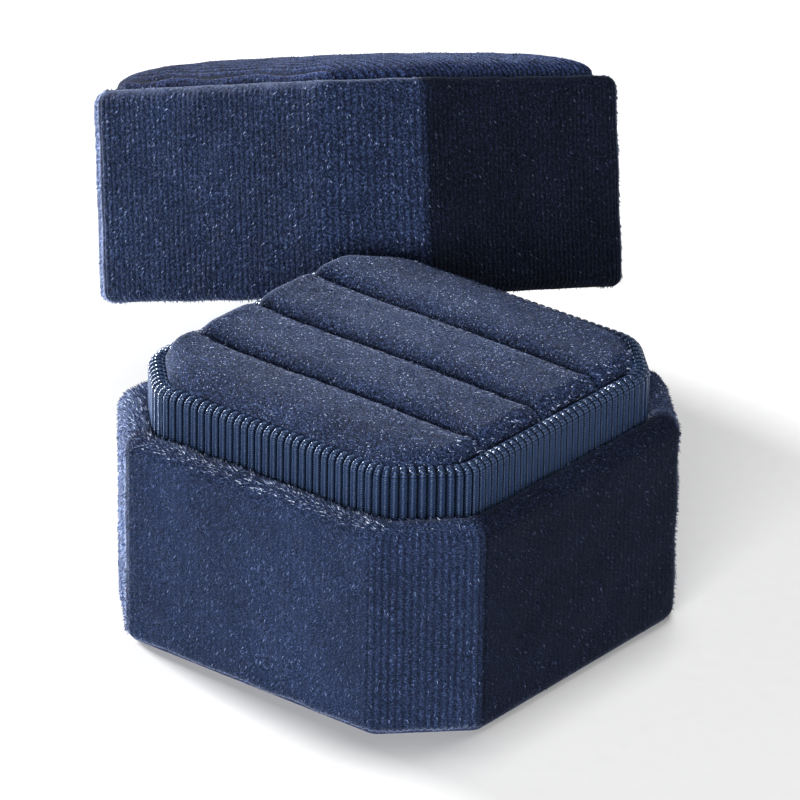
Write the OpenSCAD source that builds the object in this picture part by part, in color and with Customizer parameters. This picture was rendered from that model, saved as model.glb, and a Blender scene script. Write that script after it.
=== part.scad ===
// Eight-sided ring box: a velvet base with a ribbed ribbon collar and a padded
// insert of four rolls, and a loose lid that leans on the back of the base.
// The slots run along X, the front face looks along -Y, and Z = 0 is the table.

/* [Box] */
// Width and depth across the flat faces
box_width = 50; // [44:0.5:64]
// Leg of each corner chamfer
chamfer_leg = 8.2; // [6:0.1:11]
// Plan radius where two outer faces meet
outer_corner = 2.4; // [1.6:0.1:3]
// Thickness of the velvet with its backing
velvet = 0.8; // [0.6:0.05:1]
// Radius of the soft bead along the rims
rim_radius = 1.6; // [1:0.1:2]

/* [Base] */
// Height of the base up to its ledge
base_height = 23.8; // [22:0.1:34]
// Thickness of the cover glued under the base
foot_cover = 0.6; // [0.4:0.1:1]
// Thickness of the floor board
floor_board = 2; // [1.5:0.1:3]
// Width of the ledge between the outer face and the collar
ledge_width = 3.2; // [2.8:0.1:4]

/* [Collar] */
// Height of the ribbon collar above the ledge
collar_rise = 5.2; // [4:0.1:7]
// Plan radius of the collar's corners
collar_corner = 5.5; // [4:0.5:6]
// Thickness of the ribbon
ribbon = 0.5; // [0.4:0.05:0.6]
// Thickness of the collar board
collar_board_wall = 0.9; // [0.8:0.1:1.5]

/* [Insert] */
// Number of padded rolls side by side
roll_count = 4; // [4]
// Gap between two rolls, where a ring's shank is pushed in
slot_gap = 0.4; // [0.3:0.1:0.8]
// Height of the rolls above the collar's top
crown_rise = 1.4; // [0.5:0.1:1.5]
// Height of the foam block below the insert
riser_height = 7.2; // [5:0.1:9]
// Thickness of the card that the rolls are glued to
card = 1; // [0.8:0.1:1.5]
// Thickness of the velvet on a roll
roll_velvet = 0.6; // [0.5:0.05:0.8]
// Clearance round the insert and under a resting piece
clearance = 0.3; // [0.25:0.05:0.35]

/* [Lid] */
// Height of the lid from its mouth to its rim
lid_height = 24.1; // [22:0.1:34]
// Thickness of the lid's wall board
lid_board = 1.6; // [1.2:0.1:1.8]
// Thickness of the lining inside the lid
lining = 0.5; // [0.4:0.05:0.6]
// Rise of the padded top above the rim
dome_rise = 2.7; // [2:0.1:4]
// Turn of the leaning lid about its own axis, in degrees
lid_turn = -1.7; // [-2:0.1:0]
// Sideways shift of the leaning lid
lid_shift = 1.7; // [0:0.1:2]

/* [Hidden] */

// Colours
NAVY = "#27355c";
NAVY_DEEP = "#1b2440";
RIBBON_BLUE = "#2f456b";
BOARD_GREY = "#8c8a84";
FOAM_WHITE = "#dcd9d0";

// Widths across the flats, from the outside in
velvet_inner = box_width - 2 * velvet;
ribbon_outer = box_width - 2 * ledge_width;
board_outer = ribbon_outer - 2 * ribbon;
board_inner = board_outer - 2 * collar_board_wall;
ribbon_inner = board_inner - 2 * ribbon;
insert_width = ribbon_inner - 2 * clearance;

// Heights in the base
board_top = base_height - velvet;
floor_top = foot_cover + floor_board;
collar_top = base_height + collar_rise;
tail_length = 8;
ribbon_tail_out = base_height - tail_length;
ribbon_tail_in = collar_top - tail_length;
ribbon_edge = 0.4;
velvet_lift = 0.1;
nap_gap = 0.05;
riser_play = 0.2;
riser_top = floor_top + riser_height;
card_bottom = riser_top + clearance;
card_top = card_bottom + card;
roll_top = collar_top + crown_rise;
roll_shoulder = 1.8;
roll_fullness = 4;
roll_steps = 20;
roll_pitch = (insert_width + slot_gap) / roll_count;
roll_width = roll_pitch - slot_gap;

// Widths and heights in the lid, measured from its mouth
lid_board_inner = velvet_inner - 2 * lid_board;
lid_inner = lid_board_inner - 2 * lining;
hem = velvet;
velvet_tuck = 0.4;
dome_seat = lid_board_inner - 2 * velvet_tuck;
lid_board_top = lid_height - velvet;
top_board = 2;
dome_sink = 2.8;
top_board_upper = lid_height - dome_sink;
top_board_lower = top_board_upper - top_board;
top_lining = 1.2;
ceiling = top_board_lower - top_lining;
dome_velvet = 0.6;
dome_steps = 6;
dome_draw = 7;
dome_corner = 3;

// The leaning lid: the chamfer of its mouth rests on the ledge behind the
// collar, and the opposite chamfer stands on the table.
lid_span = (box_width - chamfer_leg) * sqrt(2);
lid_wall = velvet + lid_board + lining;
seat_drop = 0.8;
floor_gap = 0.1;
collar_gap = 0.4;
seat_height = base_height - seat_drop;
lid_tilt = asin((seat_height - floor_gap) / (lid_span - lid_wall));
collar_reach = (ribbon_outer - leg_at(ribbon_outer)) / sqrt(2);
mouth_front = collar_reach + collar_gap;
mouth_reach = mouth_front + lid_span * cos(lid_tilt) / 2;
mouth_height = floor_gap + lid_span * sin(lid_tilt) / 2;

// Chamfer leg of an outline that is parallel to the outer one
function leg_at(width) = chamfer_leg - (box_width - width) / 2 * (2 - sqrt(2));

// Turns a plan point about the origin
function turned(point, angle) = [
    point[0] * cos(angle) - point[1] * sin(angle),
    point[0] * sin(angle) + point[1] * cos(angle)
];

// Corner number i of the eight-sided plan, counted from the +X face
function corner(i, half, leg) = i % 2 == 0
    ? turned([half, half - leg], 45 * i)
    : turned([half - leg, half], 45 * (i - 1));

// Centre of the arc that rounds corner i
function arc_centre(i, half, leg, radius) = corner(i, half, leg)
    - radius / cos(22.5) * [cos(45 * i + 22.5), sin(45 * i + 22.5)];

// Plan outline with eight faces and eight rounded corners
function outline(width, radius, steps = 4) = [
    for (i = [0:7])
        let (centre = arc_centre(i, width / 2, leg_at(width), radius))
        for (k = [0:steps])
            let (angle = 45 * i + 45 * k / steps)
            centre + radius * [cos(angle), sin(angle)]
];

// Upright eight-sided block between two heights
module block(width, radius, low, high) {
    translate([0, 0, low])
    linear_extrude(high - low)
    polygon(outline(width, radius));
}

// Eight-sided wall between two heights
module wall(outer, outer_radius, inner, inner_radius, low, high) {
    difference() {
        block(outer, outer_radius, low, high);
        block(inner, inner_radius, low - 1, high + 1);
    }
}

// Outer body of a velvet wrap, with a soft bead round its rim
module soft_block(low, high) {
    inset = rim_radius * (1 - sqrt(0.5));
    hull() {
        block(box_width, outer_corner, low, high - rim_radius);
        block(box_width - 2 * inset, outer_corner - inset, low, high - inset);
        block(box_width - 2 * rim_radius, outer_corner - rim_radius / 2, low, high);
    }
}

// Points across one padded roll, with a crowned top and round shoulders
function roll_section(width, low, high, rise) = concat(
    [[-width / 2, low]],
    [
        for (i = [0:roll_steps])
            let (u = -cos(180 * i / roll_steps))
            [u * width / 2, high - rise + rise * sqrt(1 - pow(abs(u), roll_fullness))]
    ],
    [[width / 2, low]]
);

// Roll number i, made smaller all round by inset
module roll(i, inset) {
    middle = -insert_width / 2 + roll_width / 2 + (i - 1) * roll_pitch;
    intersection() {
        translate([-box_width / 2, middle, 0])
        rotate([90, 0, 90])
        linear_extrude(box_width)
        polygon(roll_section(roll_width - 2 * inset, card_top, roll_top - inset, roll_shoulder));
        block(insert_width - 2 * inset, collar_corner - 1, card_top, roll_top + 1);
    }
}

// Puts a piece of the lid, made upright from its mouth, in its leaning place
module lean() {
    translate([
        (-mouth_reach + lid_shift) / sqrt(2),
        (mouth_reach + lid_shift) / sqrt(2),
        mouth_height
    ])
    rotate(a = -lid_tilt, v = [1, 1, 0])
    rotate([0, 0, lid_turn])
    children();
}

// How far the padded top has drawn in at step k of its crown
function dome_shrink(k) = dome_draw * (1 - sqrt(1 - pow(k / dome_steps, 2)));

// Crowned block of the padded top
module dome(width, low, rise) {
    hull()
    for (k = [0:dome_steps])
        block(width - 2 * dome_shrink(k), dome_corner, low, low + rise * max(0.1, k / dome_steps));
}

module base_foot_cover() {
    color(NAVY_DEEP)
    block(velvet_inner, outer_corner - velvet, 0, foot_cover);
}

module base_floor_board() {
    color(BOARD_GREY)
    block(ribbon_outer, collar_corner, foot_cover, floor_top);
}

module base_wall_board() {
    color(BOARD_GREY)
    wall(velvet_inner, outer_corner - velvet, ribbon_outer, collar_corner, foot_cover, board_top);
}

// The nap is pressed down where the edge of the lid rests on the ledge
module base_velvet() {
    color(NAVY)
    difference() {
        soft_block(velvet_lift, base_height);
        block(velvet_inner, outer_corner - velvet, -1, board_top);
        block(ribbon_outer, collar_corner, -1, base_height + 1);
        lean()
        block(box_width + 2 * nap_gap, outer_corner, -nap_gap, lid_height);
    }
}

module collar_board() {
    color(BOARD_GREY)
    wall(board_outer, collar_corner - ribbon, board_inner, collar_corner - ribbon - collar_board_wall,
        floor_top, collar_top - ribbon);
}

module collar_ribbon() {
    color(RIBBON_BLUE)
    difference() {
        union() {
            block(ribbon_outer, collar_corner, ribbon_tail_out, collar_top - ribbon_edge);
            block(ribbon_outer - 2 * ribbon_edge, collar_corner - ribbon_edge, ribbon_tail_out, collar_top);
        }
        block(board_outer, collar_corner - ribbon, 0, ribbon_tail_in);
        wall(board_outer, collar_corner - ribbon, board_inner, collar_corner - ribbon - collar_board_wall,
            ribbon_tail_in - 1, collar_top - ribbon);
        block(ribbon_inner, collar_corner - 2 * ribbon - collar_board_wall, 0, collar_top + 1);
    }
}

module insert_riser() {
    color(FOAM_WHITE)
    block(board_inner - 2 * riser_play, collar_corner - 2, floor_top, riser_top);
}

module insert_card() {
    color(BOARD_GREY)
    block(insert_width, collar_corner - 1, card_bottom, card_top);
}

module insert_foam(i) {
    color(FOAM_WHITE)
    roll(i, roll_velvet);
}

module insert_velvet(i) {
    color(NAVY)
    difference() {
        roll(i, 0);
        roll(i, roll_velvet);
    }
}

module lid_wall_board() {
    color(BOARD_GREY)
    lean()
    wall(velvet_inner, outer_corner - velvet, lid_board_inner, outer_corner - velvet, hem, lid_board_top);
}

module lid_top_board() {
    color(BOARD_GREY)
    lean()
    block(lid_board_inner, outer_corner - velvet, top_board_lower, top_board_upper);
}

module lid_velvet() {
    color(NAVY)
    lean()
    difference() {
        soft_block(0, lid_height);
        wall(velvet_inner, outer_corner - velvet, lid_board_inner, outer_corner - velvet, hem, lid_board_top);
        block(lid_board_inner, outer_corner - velvet, -1, top_board_upper);
        block(dome_seat, outer_corner - velvet, top_board_upper - 1, lid_height + 1);
    }
}

module lid_wall_lining() {
    color(NAVY_DEEP)
    lean()
    wall(lid_board_inner, outer_corner - velvet, lid_inner, outer_corner - velvet, 0, top_board_lower);
}

module lid_top_lining() {
    color(NAVY_DEEP)
    lean()
    block(lid_inner, outer_corner - velvet, ceiling, top_board_lower);
}

module lid_dome_foam() {
    color(FOAM_WHITE)
    lean()
    dome(dome_seat - 2 * dome_velvet, top_board_upper, lid_height + dome_rise - dome_velvet - top_board_upper);
}

module lid_dome_velvet() {
    color(NAVY)
    lean()
    difference() {
        dome(dome_seat, top_board_upper, lid_height + dome_rise - top_board_upper);
        dome(dome_seat - 2 * dome_velvet, top_board_upper, lid_height + dome_rise - dome_velvet - top_board_upper);
    }
}

base_foot_cover();
base_floor_board();
base_wall_board();
base_velvet();
collar_board();
collar_ribbon();
insert_riser();
insert_card();
insert_foam(1);  // insert_foam_1
insert_foam(2);  // insert_foam_2
insert_foam(3);  // insert_foam_3
insert_foam(4);  // insert_foam_4
insert_velvet(1);  // insert_velvet_1
insert_velvet(2);  // insert_velvet_2
insert_velvet(3);  // insert_velvet_3
insert_velvet(4);  // insert_velvet_4
lid_wall_board();
lid_top_board();
lid_velvet();
lid_wall_lining();
lid_top_lining();
lid_dome_foam();
lid_dome_velvet();
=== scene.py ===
"""Eight-sided velvet ring box with a ribbon collar, a padded insert and a leaning lid.

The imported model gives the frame: where each body is and how big each layer is. This
script makes the cloth, the ribbon, the padding and the finishes round that frame.
Lengths in the classes are in millimetres and meshes are in metres.
"""

import logging
import math
from dataclasses import dataclass, field, replace
from enum import Enum
from typing import Any, Callable, Sequence

import bpy
import numpy as np
from mathutils import Matrix, Quaternion, Vector


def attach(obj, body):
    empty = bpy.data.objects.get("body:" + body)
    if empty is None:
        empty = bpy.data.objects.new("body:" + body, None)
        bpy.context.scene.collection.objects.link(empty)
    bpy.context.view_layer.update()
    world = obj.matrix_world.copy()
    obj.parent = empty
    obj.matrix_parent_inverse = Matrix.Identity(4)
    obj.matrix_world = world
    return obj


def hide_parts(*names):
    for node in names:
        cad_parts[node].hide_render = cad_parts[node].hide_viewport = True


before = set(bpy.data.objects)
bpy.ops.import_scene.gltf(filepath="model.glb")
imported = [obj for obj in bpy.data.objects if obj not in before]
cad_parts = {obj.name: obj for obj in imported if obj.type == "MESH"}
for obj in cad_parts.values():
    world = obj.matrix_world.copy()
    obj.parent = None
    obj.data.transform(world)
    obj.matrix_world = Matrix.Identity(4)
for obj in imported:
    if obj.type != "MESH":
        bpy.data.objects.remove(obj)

LOG = logging.getLogger("ring_box")
MM = 0.001


class Body(Enum):
    """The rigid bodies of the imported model."""

    BASE = "base"
    INSERT = "insert"
    LID = "lid"


class Slot(Enum):
    """The record's material slots."""

    BASE_VELVET = "base_velvet"
    LID_VELVET = "lid_velvet"
    DOME_VELVET = "dome_velvet"
    INSERT_VELVET = "insert_velvet"
    FOOT_VELVET = "foot_velvet"
    RIBBON = "grosgrain_ribbon"
    LINING = "lining"
    BOARD = "greyboard"
    FOAM = "foam"


# ---------------------------------------------------------------- small helpers


def linear(hex_colour: str, alpha: float = 1.0) -> tuple[float, float, float, float]:
    """Turns an sRGB hex colour into linear RGBA.

    Args:
        hex_colour: Colour such as "#1f2c52".
        alpha: Opacity to append.

    Returns:
        The linear colour as four numbers.
    """
    parts = [int(hex_colour[i : i + 2], 16) / 255 for i in (1, 3, 5)]
    low = [c / 12.92 if c <= 0.04045 else ((c + 0.055) / 1.055) ** 2.4 for c in parts]
    return (*low, alpha)


def add_node(tree: bpy.types.NodeTree, kind: str, inputs: dict | None = None, **settings: Any) -> Any:
    """Adds one node with its settings, and fills or links its inputs.

    Args:
        tree: Node tree that gets the node.
        kind: Blender's type name of the node.
        inputs: Socket name or index to a value, or to an output socket to link from.
        **settings: Properties set on the node before its inputs.

    Returns:
        The new node.
    """
    node = tree.nodes.new(kind)
    for key, value in settings.items():
        setattr(node, key, value)
    for key, value in (inputs or {}).items():
        socket = node.inputs[key]
        if isinstance(value, bpy.types.NodeSocket):
            tree.links.new(value, socket)
        else:
            socket.default_value = value
    return node


def set_ramp(node: Any, stops: Sequence[tuple[float, str]]) -> Any:
    """Gives a colour ramp node its stops.

    Args:
        node: The ramp node.
        stops: Position and hex colour of each stop, in rising order.

    Returns:
        The ramp's colour output.
    """
    elements = node.color_ramp.elements
    while len(elements) < len(stops):
        elements.new(0.5)
    for element, (place, colour) in zip(elements, stops):
        element.position = place
        element.color = linear(colour)
    return node.outputs["Color"]


def new_object(name: str, mesh: bpy.types.Mesh, material: bpy.types.Material | None = None) -> bpy.types.Object:
    """Links a new object at the origin to the scene and gives it one material."""
    piece = bpy.data.objects.new(name, mesh)
    bpy.context.collection.objects.link(piece)
    if material is not None:
        piece.data.materials.clear()
        piece.data.materials.append(material)
    return piece


def make_mesh(name: str, points: np.ndarray, faces: Sequence[Sequence[int]], smooth: bool = True) -> bpy.types.Mesh:
    """Builds a mesh from points in millimetres.

    Args:
        name: Name of the mesh.
        points: Array of shape (n, 3), in millimetres.
        faces: Corner numbers of each face.
        smooth: Whether faces are shaded smooth.

    Returns:
        The mesh, in metres.
    """
    mesh = bpy.data.meshes.new(name)
    mesh.from_pydata((points * MM).tolist(), [], [list(f) for f in faces])
    mesh.polygons.foreach_set("use_smooth", [smooth] * len(mesh.polygons))
    mesh.update()
    return mesh


def set_attribute(mesh: bpy.types.Mesh, name: str, values: np.ndarray) -> None:
    """Stores one number for each point of a mesh under a name."""
    layer = mesh.attributes.new(name, "FLOAT", "POINT")
    layer.data.foreach_set("value", np.asarray(values, dtype=np.float32).ravel())


def ripple(points: np.ndarray, size: float, seed: float) -> np.ndarray:
    """Slow uneven waviness of hand-wrapped cloth.

    Args:
        points: Array of shape (..., 3), in millimetres.
        size: Length of a wave in millimetres.
        seed: Number that shifts the pattern.

    Returns:
        Values between about -1 and 1, one for each point.
    """
    x, y, z = (points[..., i] * (2 * math.pi / size) for i in range(3))
    first = np.sin(x * 0.83 + y * 0.31 + seed) * np.cos(z * 0.77 - y * 0.52 + 1.7 * seed)
    second = np.sin(y * 1.31 - z * 0.63 + 2.3 * seed) * np.cos(x * 1.17 + 0.4 * seed)
    return 0.6 * first + 0.4 * second


def dress(piece: bpy.types.Object, body: Body) -> None:
    """Puts a finished piece on its body."""
    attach(piece, body.value)
    LOG.info("%s: %d faces on %s", piece.name, len(piece.data.polygons), body.value)


# ---------------------------------------------------------------- plan geometry


@dataclass(frozen=True)
class Outline:
    """Eight-sided plan with rounded corners."""

    width: float
    leg: float
    corner: float

    def inset(self, depth: float, corner: float) -> "Outline":
        """Returns the parallel outline that lies depth further in."""
        return Outline(self.width - 2 * depth, self.leg - depth * (2 - math.sqrt(2)), corner)

    def face_length(self, flat: bool) -> float:
        """Returns the straight length of a flat face or of a chamfer, between its arcs."""
        full = self.width - 2 * self.leg if flat else self.leg * math.sqrt(2)
        return full - 2 * self.corner * math.tan(math.pi / 8)

    def perimeter(self) -> float:
        """Returns the length all round."""
        straight = 4 * (self.face_length(True) + self.face_length(False))
        return straight + 2 * math.pi * self.corner

    def stations(self, count: int) -> tuple[np.ndarray, np.ndarray]:
        """Spreads places evenly all round.

        Args:
            count: Number of places.

        Returns:
            The places as stretch numbers, where an even stretch is a corner's arc and an
            odd one is the face after it, and the length along the outline in millimetres.
        """
        arc = self.corner * math.pi / 4
        lengths = []
        for k in range(8):
            lengths += [arc, self.face_length(flat=(k % 2 == 1))]
        ends = np.cumsum(lengths)
        along = np.arange(count) * (ends[-1] / count)
        stretch = np.minimum(np.searchsorted(ends, along, side="right"), 15)
        start = np.concatenate([[0.0], ends])[stretch]
        share = (along - start) / np.array(lengths)[stretch]
        return stretch + np.clip(share, 0, 1 - 1e-9), along

    def arc_centre(self, k: np.ndarray) -> np.ndarray:
        """Returns the centres of the arcs that round the corners numbered k."""
        half, short = self.width / 2, self.width / 2 - self.leg
        even = k % 2 == 0
        x = np.where(even, half, short)
        y = np.where(even, short, half)
        turn = np.radians(45.0 * np.where(even, k, k - 1))
        place = np.stack([x * np.cos(turn) - y * np.sin(turn), x * np.sin(turn) + y * np.cos(turn)], -1)
        mid = np.radians(45.0 * k + 22.5)
        pull = self.corner / math.cos(math.pi / 8)
        return place - pull * np.stack([np.cos(mid), np.sin(mid)], -1)

    def ring(self, places: np.ndarray) -> tuple[np.ndarray, np.ndarray]:
        """Finds the points and outward directions at places from stations().

        Args:
            places: Stretch numbers.

        Returns:
            Points and unit normals, each of shape (n, 2).
        """
        stretch = np.floor(places).astype(int)
        share = places - stretch
        k = stretch // 2
        on_arc = stretch % 2 == 0
        angle = np.radians(np.where(on_arc, 45.0 * (k + share), 45.0 * (k + 1)))
        normal = np.stack([np.cos(angle), np.sin(angle)], -1)
        here = self.arc_centre(k) + self.corner * normal
        after = self.arc_centre((k + 1) % 8) + self.corner * normal
        straight = here + (after - here) * share[:, None]
        return np.where(on_arc[:, None], here, straight), normal


@dataclass(frozen=True)
class SectionPoint:
    """One point of a section that is swept round an outline."""

    inset: float
    height: float
    corner: float
    cloth: float = 1.0
    fuzz: float = 1.0
    crest: float = 0.0


def arc_points(
    centre: tuple[float, float], radii: tuple[float, float], start: float, end: float, steps: int
) -> list[tuple[float, float]]:
    """Points along a quarter or half oval, in inset and height.

    Args:
        centre: Middle of the oval.
        radii: Its two half sizes.
        start: Angle of the first point in degrees, where 180 looks outward and 90 up.
        end: Angle of the last point.
        steps: Number of stretches between them.

    Returns:
        The points, the first and last included.
    """
    angles = [math.radians(start + (end - start) * i / steps) for i in range(steps + 1)]
    return [(centre[0] + radii[0] * math.cos(a), centre[1] + radii[1] * math.sin(a)) for a in angles]


@dataclass(frozen=True)
class Sweep:
    """A closed section carried round an eight-sided outline."""

    outline: Outline
    section: Sequence[SectionPoint]
    columns: int
    # These two set the nap attribute: painted shade on the right-facing faces and painted light on the left-facing
    # ones.
    painted_right_shade: float = 0.0
    toward: float = 0.0

    def build(self, name: str, lift: Callable[[np.ndarray, np.ndarray, np.ndarray], np.ndarray]) -> bpy.types.Mesh:
        """Makes the swept mesh.

        The nap attribute paints light and shade: it is below 1 on the right-facing faces, which are painted darker, and
        above 1 on the left-facing ones, which are painted lighter; it scales the colour, the sheen and the pile.

        Args:
            name: Name of the mesh.
            lift: Takes the points, the length along the outline and the place numbers, and
                returns how far the cloth stands proud there, from 0 to 1 and in millimetres.

        Returns:
            A closed mesh with a UV map in metres, "wale" and "pile" attributes.
        """
        places, along = self.outline.stations(self.columns)
        rows = len(self.section)
        ring = [self.outline.inset(p.inset, p.corner).ring(places) for p in self.section]
        flat = np.stack([r[0] for r in ring])
        normal = np.stack([r[1] for r in ring])
        inset = np.array([p.inset for p in self.section])
        height = np.array([p.height for p in self.section])
        cloth = np.array([p.cloth for p in self.section])
        fuzz = np.array([p.fuzz for p in self.section])
        step = np.stack([np.roll(inset, -1) - np.roll(inset, 1), np.roll(height, -1) - np.roll(height, 1)], -1)
        step /= np.maximum(np.linalg.norm(step, axis=1, keepdims=True), 1e-9)
        out, up = step[:, 1], step[:, 0]
        points = np.concatenate([flat, np.broadcast_to(height[:, None, None], flat.shape[:2] + (1,))], -1)
        shape, proud = lift(points, along, places)
        proud = proud * cloth[:, None]
        points[..., :2] += normal * (out[:, None] * proud)[..., None]
        points[..., 2] += up[:, None] * proud
        index = np.arange(rows * self.columns).reshape(rows, self.columns)
        after = np.roll(index, -1, axis=1)
        above, above_after = np.roll(index, -1, axis=0), np.roll(after, -1, axis=0)
        faces = np.stack([index, after, above_after, above], -1).reshape(-1, 4)
        mesh = make_mesh(name, points.reshape(-1, 3), faces)
        # Painted light and shade: nap darkens the colour and the sheen of right-facing faces and lightens those of
        # left-facing ones; it also thins or thickens the pile there.
        nap = 1 - self.painted_right_shade * np.clip((normal[..., 0] - 0.8) / 0.18, 0, 1)
        nap += self.toward * np.clip((-normal[..., 0] - 0.45) / 0.25, 0, 1)
        # The wale value paints shade: it is low in the valleys between the wales and 0 on hidden cloth.
        set_attribute(mesh, "wale", (0.25 + 0.75 * shape) * cloth[:, None])
        set_attribute(mesh, "pile", np.clip(shape, 0.05, 1) ** 5 * (cloth * fuzz)[:, None] * nap)
        set_attribute(mesh, "nap", nap)
        # Painted highlight: the crest weight is kept off the faces that look to the right, away from the lights; it
        # sets where the pale fringe fibres grow.
        crest = np.array([p.crest for p in self.section])
        set_attribute(mesh, "crest", crest[:, None] * np.clip((0.75 - normal[..., 0]) / 0.3, 0, 1))
        run = np.concatenate([[0.0], np.cumsum(np.hypot(np.diff(inset), np.diff(height)))])
        wide = np.concatenate([along, [self.outline.perimeter()]])
        u = np.stack([wide[:-1], wide[1:], wide[1:], wide[:-1]], -1)
        v = np.stack([run, run, np.append(run[1:], run[-1]), np.append(run[1:], run[-1])], -1)
        uv = np.stack(
            [np.broadcast_to(u[None], (rows, *u.shape)), np.broadcast_to(v[:, None], (rows, *u.shape))], -1
        )
        layer = mesh.uv_layers.new(name="cloth")
        layer.data.foreach_set("uv", (uv.reshape(-1) * MM).astype(np.float32))
        return mesh


# ---------------------------------------------------------------- finishes


@dataclass(frozen=True)
class VelvetFinish:
    """Woven velvet, cut and steamed: a matt ground with painted shade between the wales, under upright fibres, a few
    with painted highlights on their ends.
    """

    name: str
    # valley is the painted shade colour between the wales, and also the darkest grain of the speckle.
    valley: str = "#0a101d"
    ground: str = "#1a243b"
    tip_dark: str = "#161f34"
    tip: str = "#283453"
    tip_fair: str = "#46557b"
    # tip_fair to tip_lit: the pale end of the tone ramp, painted highlights on a few fibre ends.
    tip_lit: str = "#94a4c8"
    sheen: float = 0.8
    sheen_roughness: float = 0.3
    grain: float = 0.24
    stretch: tuple[float, float, float] = (1.0, 1.0, 1.0)

    def brush(self, tree: bpy.types.NodeTree, place: Any, colour: Any) -> None:
        """Mottles the colour where the nap is pressed, and scales the colour and the sheen by the nap attribute, which
        paints shade on the right-facing faces and light on the left-facing ones.

        Args:
            tree: Node tree of the material.
            place: Output socket with the object coordinates.
            colour: Output socket with the colour.
        """
        pressed = add_node(tree, "ShaderNodeTexNoise", {"Vector": place, "Scale": 1 / (9 * MM), "Detail": 2.0})
        amount = add_node(
            tree, "ShaderNodeMapRange",
            {"Value": pressed.outputs["Fac"], "From Min": 0.35, "From Max": 0.65, "To Min": 0.85, "To Max": 1.15},
        )
        # Painted light and shade: the nap attribute darkens the colour and the sheen on the right and lightens them on
        # the left.
        nap = add_node(tree, "ShaderNodeAttribute", attribute_name="nap")
        both = add_node(
            tree, "ShaderNodeMath", {0: amount.outputs["Result"], 1: nap.outputs["Fac"]}, operation="MULTIPLY"
        )
        shaded = add_node(tree, "ShaderNodeVectorMath", {0: colour, "Scale": both.outputs[0]}, operation="SCALE")
        steep = add_node(tree, "ShaderNodeMath", {0: nap.outputs["Fac"], 1: 2.0}, operation="POWER")
        sheen = add_node(tree, "ShaderNodeMath", {0: steep.outputs[0], 1: self.sheen}, operation="MULTIPLY")
        shader = tree.nodes["Principled BSDF"]
        tree.links.new(shaded.outputs["Vector"], shader.inputs["Base Color"])
        tree.links.new(sheen.outputs[0], shader.inputs["Sheen Weight"])
        shader.inputs["Sheen Roughness"].default_value = self.sheen_roughness
        shader.inputs["Sheen Tint"].default_value = linear("#aab9dc")

    def ground_material(self) -> bpy.types.Material:
        """Builds the woven ground: painted shade between the wales, mottled where the nap is pressed."""
        material = bpy.data.materials.new(f"{self.name}_cut_velvet_ground")
        material.use_nodes = True
        tree = material.node_tree
        shader = tree.nodes["Principled BSDF"]
        place = add_node(tree, "ShaderNodeTexCoord").outputs["Object"]
        brushed = add_node(tree, "ShaderNodeMapping", {"Vector": place, "Scale": self.stretch}).outputs["Vector"]
        grain = add_node(tree, "ShaderNodeTexNoise", {"Vector": brushed, "Scale": 1 / (self.grain * MM), "Detail": 2.0})
        wale = add_node(tree, "ShaderNodeAttribute", attribute_name="wale")
        speckle = set_ramp(
            add_node(tree, "ShaderNodeValToRGB", {"Fac": grain.outputs["Fac"]}),
            [(0.34, self.valley), (0.48, self.ground), (0.58, self.tip), (0.72, self.tip_fair)],
        )
        # Painted shade: the wale attribute mixes the colour towards the valley colour between the wales and on cloth
        # lying low or hidden.
        shade = add_node(
            tree, "ShaderNodeMix", {0: wale.outputs["Fac"], 6: linear(self.valley), 7: speckle}, data_type="RGBA"
        )
        bump = add_node(
            tree, "ShaderNodeBump", {"Height": grain.outputs["Fac"], "Strength": 0.8, "Distance": 0.12 * MM}
        )
        self.brush(tree, place, shade.outputs[2])
        tree.links.new(bump.outputs["Normal"], shader.inputs["Normal"])
        shader.inputs["Roughness"].default_value = 0.85
        shader.inputs["Specular IOR Level"].default_value = 0.05
        return material

    def tip_material(self) -> bpy.types.Material:
        """Builds the cut fibre ends: each bundle has its own tone, and the pale end of the ramp paints highlights on a
        few.
        """
        material = bpy.data.materials.new(f"{self.name}_cut_velvet_pile")
        material.use_nodes = True
        tree = material.node_tree
        shader = tree.nodes["Principled BSDF"]
        tone = add_node(tree, "ShaderNodeAttribute", attribute_name="tone")
        # Random tone for each bundle; from tip_fair to tip_lit the ramp paints highlights on the top few.
        colour = set_ramp(
            add_node(tree, "ShaderNodeValToRGB", {"Fac": tone.outputs["Fac"]}),
            [(0.0, self.tip_dark), (0.62, self.tip), (0.86, self.tip_fair), (1.0, self.tip_lit)],
        )
        place = add_node(tree, "ShaderNodeTexCoord").outputs["Object"]
        self.brush(tree, place, colour)
        shader.inputs["Roughness"].default_value = 0.55
        shader.inputs["Specular IOR Level"].default_value = 0.12
        return material


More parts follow.
